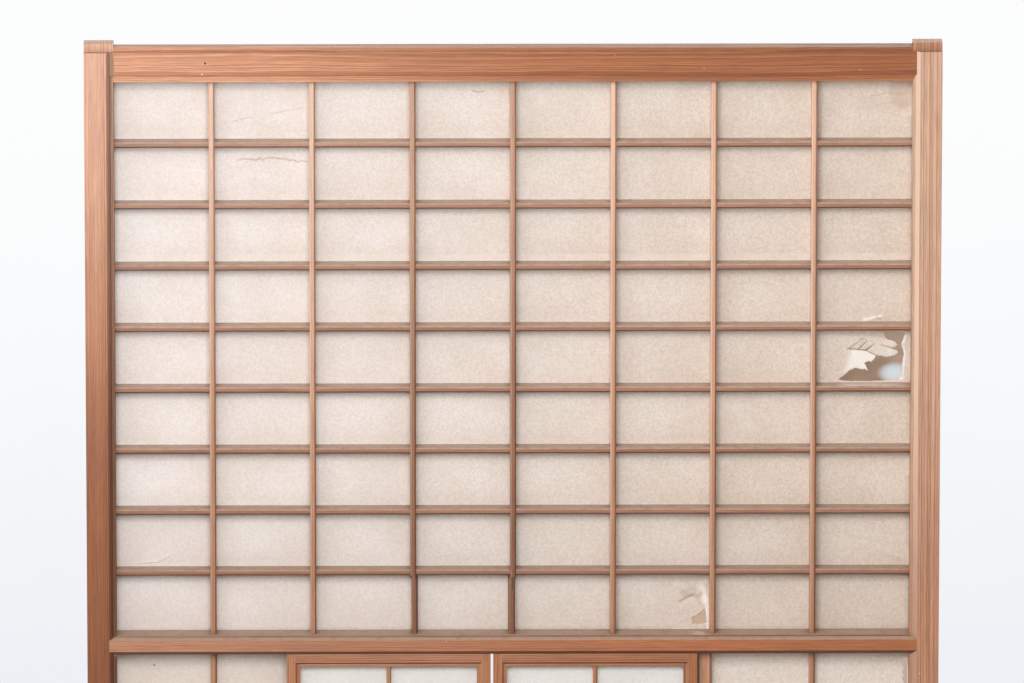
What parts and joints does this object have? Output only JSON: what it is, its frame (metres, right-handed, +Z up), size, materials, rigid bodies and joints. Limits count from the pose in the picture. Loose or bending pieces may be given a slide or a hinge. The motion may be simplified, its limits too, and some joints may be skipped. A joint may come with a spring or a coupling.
{
  "type": "shoji sliding screen",
  "caption": "Timber lattice sliding screen, papered on its back, with small sliding screens before a window in its middle.",
  "frame": {"origin": "centre of the foot of the screen, at the bottom of its sill tongue", "axes": "X across the screen, -Y out of its front, +Z up"},
  "size_m": [0.874, 0.033, 1.757],
  "materials": {
    "frame_cedar": "matte, dry and dusty",
    "lattice_cedar": "matte, dry and dusty",
    "small_screen_cedar": "matte",
    "aged_paper": "matte, fibrous",
    "white_paper": "matte, fibrous"
  },
  "bodies": {
    "screen": {"bottom_rail": "frame_cedar", "left_post": "frame_cedar", "left_side_crossbars": "lattice_cedar", "left_side_paper": "aged_paper", "left_side_upright": "lattice_cedar", "left_stile": "frame_cedar", "lower_crossbar_1": "lattice_cedar", "lower_crossbar_2": "lattice_cedar", "lower_crossbar_3": "lattice_cedar", "lower_crossbar_4": "lattice_cedar", "lower_crossbar_5": "lattice_cedar", "lower_crossbar_6": "lattice_cedar", "lower_crossbar_7": "lattice_cedar", "lower_crossbar_8": "lattice_cedar", "lower_middle_rail": "frame_cedar", "lower_paper": "aged_paper", "lower_upright_1": "lattice_cedar", "lower_upright_2": "lattice_cedar", "lower_upright_3": "lattice_cedar", "lower_upright_4": "lattice_cedar", "lower_upright_5": "lattice_cedar", "lower_upright_6": "lattice_cedar", "lower_upright_7": "lattice_cedar", "right_post": "frame_cedar", "right_side_crossbars": "lattice_cedar", "right_side_paper": "aged_paper", "right_side_upright": "lattice_cedar", "right_stile": "frame_cedar", "top_rail": "frame_cedar", "upper_crossbar_1": "lattice_cedar", "upper_crossbar_2": "lattice_cedar", "upper_crossbar_3": "lattice_cedar", "upper_crossbar_4": "lattice_cedar", "upper_crossbar_5": "lattice_cedar", "upper_crossbar_6": "lattice_cedar", "upper_crossbar_7": "lattice_cedar", "upper_crossbar_8": "lattice_cedar", "upper_middle_rail": "frame_cedar", "upper_paper": "aged_paper", "upper_upright_1": "lattice_cedar", "upper_upright_2": "lattice_cedar", "upper_upright_3": "lattice_cedar", "upper_upright_4": "lattice_cedar", "upper_upright_5": "lattice_cedar", "upper_upright_6": "lattice_cedar", "upper_upright_7": "lattice_cedar"},
    "left_small_screen": {"left_small_bottom_rail": "small_screen_cedar", "left_small_crossbars": "small_screen_cedar", "left_small_left_stile": "small_screen_cedar", "left_small_paper": "white_paper", "left_small_right_stile": "small_screen_cedar", "left_small_top_rail": "small_screen_cedar", "left_small_upright": "small_screen_cedar"},
    "right_small_screen": {"right_small_bottom_rail": "small_screen_cedar", "right_small_crossbars": "small_screen_cedar", "right_small_left_stile": "small_screen_cedar", "right_small_paper": "white_paper", "right_small_right_stile": "small_screen_cedar", "right_small_top_rail": "small_screen_cedar", "right_small_upright": "small_screen_cedar"}
  },
  "joints": [
    {"name": "left_small_slide", "type": "slide", "parent": "screen", "child": "left_small_screen", "axis": [1, 0, 0], "range_m": [-0.174, 0.001]},
    {"name": "right_small_slide", "type": "slide", "parent": "screen", "child": "right_small_screen", "axis": [1, 0, 0], "range_m": [-0.001, 0.217]}
  ]
}
